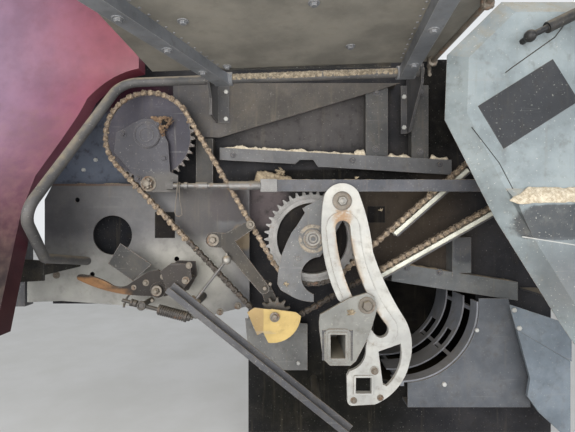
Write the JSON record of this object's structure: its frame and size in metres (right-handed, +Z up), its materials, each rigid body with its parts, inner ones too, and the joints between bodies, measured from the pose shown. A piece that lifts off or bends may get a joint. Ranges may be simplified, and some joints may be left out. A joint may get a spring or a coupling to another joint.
{
  "type": "chain drive bay of a large square baler",
  "caption": "Side drive bay of a large square baler: roller chain over sprockets on a side wall, slotted timing arm, raised shield, front cowl and rear cover.",
  "frame": {"origin": "back face of the chamber wall, at the middle of its four frame bolts", "axes": "+X to the right along the machine's side, +Z up, the open side faces -Y"},
  "size_m": [2.035, 1.5553, 1.575],
  "materials": {
    "dark_paint": "satin, dusty",
    "grey_paint": "satin, dusty",
    "light_grey_paint": "satin, scratched",
    "red_paint": "gloss",
    "yellow_paint": "worn",
    "cast_grey": "painted pale grey, worn",
    "dusty_chain": "oily, caked with dust",
    "worn_steel": "worn",
    "bright_steel": "plated, dull",
    "rusty_steel": "rusty",
    "black_steel": "satin",
    "brown_lever": "rust and old paint",
    "guide_plastic": "worn",
    "black_rubber": "matt"
  },
  "bodies": {
    "side_frame": {"bar_supports": "grey_paint", "bearing_carrier": "grey_paint", "bearing_housings": "grey_paint", "box_lever": "grey_paint", "chain": "dusty_chain", "chain_guard": "yellow_paint", "chamber_wall": "dark_paint", "cover_supports": "grey_paint", "curved_grate": "dark_paint", "frame_posts": "grey_paint", "front_plate": "grey_paint", "front_post": "grey_paint", "gas_strut": "black_steel", "guide_rails": "grey_paint", "guide_strips": "guide_plastic", "hinge_brackets": "grey_paint", "hoop_tube": "grey_paint", "idler_plate": "grey_paint", "label_plate": "grey_paint", "lever_bracket": "grey_paint", "long_bar": "grey_paint", "rear_beam": "grey_paint", "rear_bracket": "grey_paint", "rear_cover": "light_grey_paint", "rear_side_plate": "grey_paint", "strap_catch": "black_rubber", "tension_arm": "grey_paint", "tension_rod": "rusty_steel", "tension_spring": "rusty_steel", "tie_bar": "light_grey_paint", "tie_rod": "bright_steel", "trough_casing": "grey_paint", "upper_rail": "grey_paint", "upper_sheet": "dark_paint", "wall_column": "grey_paint"},
    "drive_wheel": {"drive_sprocket": "worn_steel", "drive_shaft": "bright_steel"},
    "upper_wheel": {"upper_sprocket": "dark_paint", "upper_shaft": "bright_steel"},
    "rear_wheel": {"rear_sprocket": "worn_steel", "rear_shaft": "bright_steel"},
    "idler_wheel": {"idler_sprocket": "worn_steel"},
    "top_shield": {"shield_ribs": "grey_paint", "shield_panel": "grey_paint", "shield_latch_rod": "rusty_steel"},
    "cowl": {"front_cowl": "red_paint"},
    "latch_lever": {"hand_lever": "brown_lever"},
    "cam": {"cam_plate": "grey_paint"},
    "arm": {"slotted_arm": "cast_grey"}
  },
  "joints": [
    {"name": "drive_spin", "type": "hinge", "parent": "side_frame", "child": "drive_wheel", "pos_m": [0.087, -0.12, -0.078], "axis": [0, -1, 0], "continuous": true},
    {"name": "upper_spin", "type": "hinge", "parent": "side_frame", "child": "upper_wheel", "pos_m": [-0.488, -0.12, 0.281], "axis": [0, -1, 0], "continuous": true},
    {"name": "rear_spin", "type": "hinge", "parent": "side_frame", "child": "rear_wheel", "pos_m": [0.88134, -0.12, 0.252], "axis": [0, -1, 0], "continuous": true},
    {"name": "idler_spin", "type": "hinge", "parent": "side_frame", "child": "idler_wheel", "pos_m": [-0.044, -0.12, -0.344], "axis": [0, -1, 0], "continuous": true},
    {"name": "shield_close", "type": "hinge", "parent": "side_frame", "child": "top_shield", "pos_m": [0, -0.2, 0.466], "axis": [0.9993, 0, 0.0366], "range_deg": [0, 62]},
    {"name": "cowl_open", "type": "hinge", "parent": "side_frame", "child": "cowl", "pos_m": [-0.997, -0.195, 0.2], "axis": [0, 0, -1], "range_deg": [0, 95]},
    {"name": "lever_lift", "type": "hinge", "parent": "side_frame", "child": "latch_lever", "pos_m": [-0.437, -0.176, -0.25], "axis": [0, 1, 0], "range_deg": [-6, 40]},
    {"name": "cam_rock", "type": "hinge", "parent": "side_frame", "child": "cam", "pos_m": [0.087, -0.164, -0.078], "axis": [0, -1, 0], "range_deg": [-5, 5]},
    {"name": "arm_swing", "type": "hinge", "parent": "cam", "child": "arm", "pos_m": [0.181, -0.204, 0.05], "axis": [0, -1, 0], "range_deg": [-4, 4]}
  ],
  "couplings": [
    {"joint": "upper_spin", "follows": "drive_spin", "ratio": -1.0526},
    {"joint": "rear_spin", "follows": "drive_spin", "ratio": -1.4286},
    {"joint": "idler_spin", "follows": "drive_spin", "ratio": -3.3333},
    {"joint": "arm_swing", "follows": "cam_rock", "ratio": -0.79}
  ]
}
